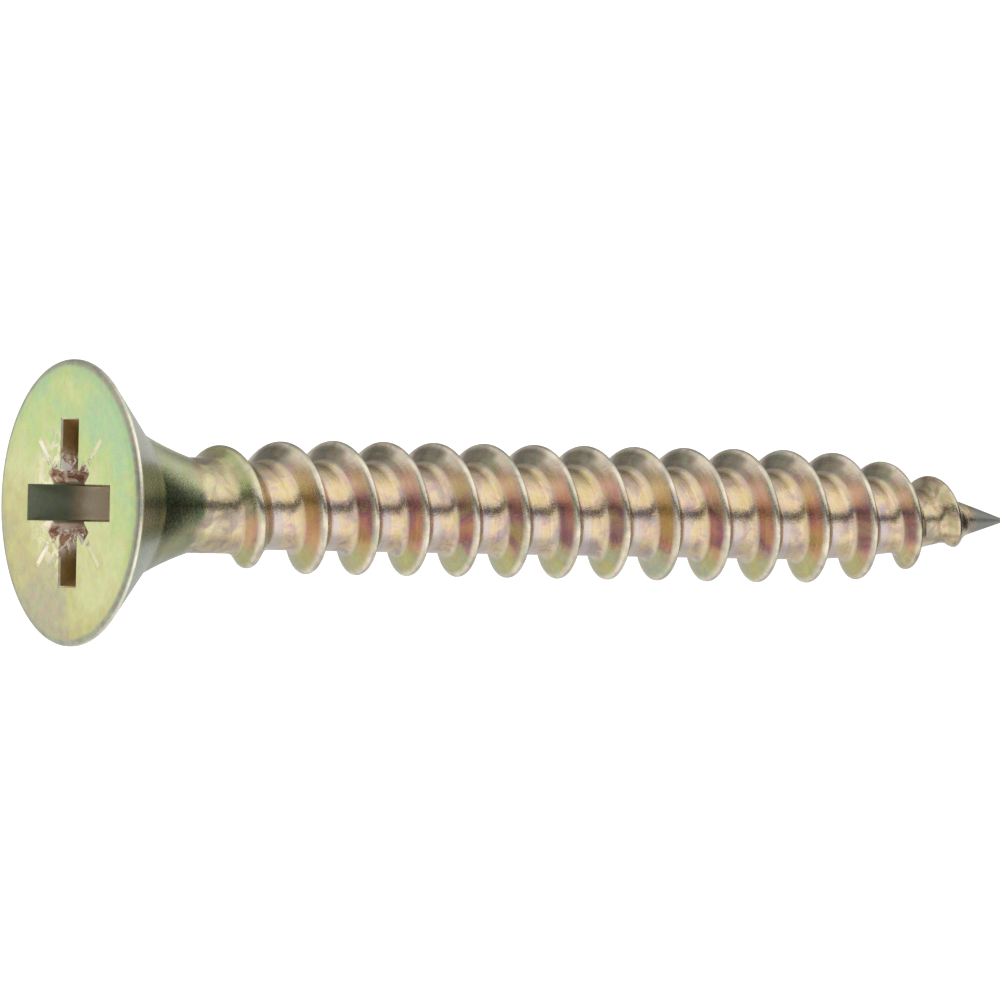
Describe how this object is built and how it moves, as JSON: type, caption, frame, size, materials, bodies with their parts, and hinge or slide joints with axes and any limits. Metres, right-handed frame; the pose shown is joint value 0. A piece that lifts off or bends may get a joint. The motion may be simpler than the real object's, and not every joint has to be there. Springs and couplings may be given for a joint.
{
  "type": "wood screw",
  "caption": "Countersunk wood screw with a cross recess, a full-length right-hand thread and a sharp point, in yellow-passivated zinc.",
  "frame": {"origin": "centre of the head's flat top, the face that finishes flush with the timber", "axes": "+Z along the screw's axis, out of the head; the shank runs down -Z to the point; the recess wings lie along X and Y"},
  "size_m": [0.0078, 0.0078, 0.03],
  "materials": {
    "yellow_zinc": "bright zinc plating with a yellow, faintly iridescent passivation on hardened steel"
  },
  "bodies": {
    "root": {"screw": "yellow_zinc"}
  },
  "joints": []
}
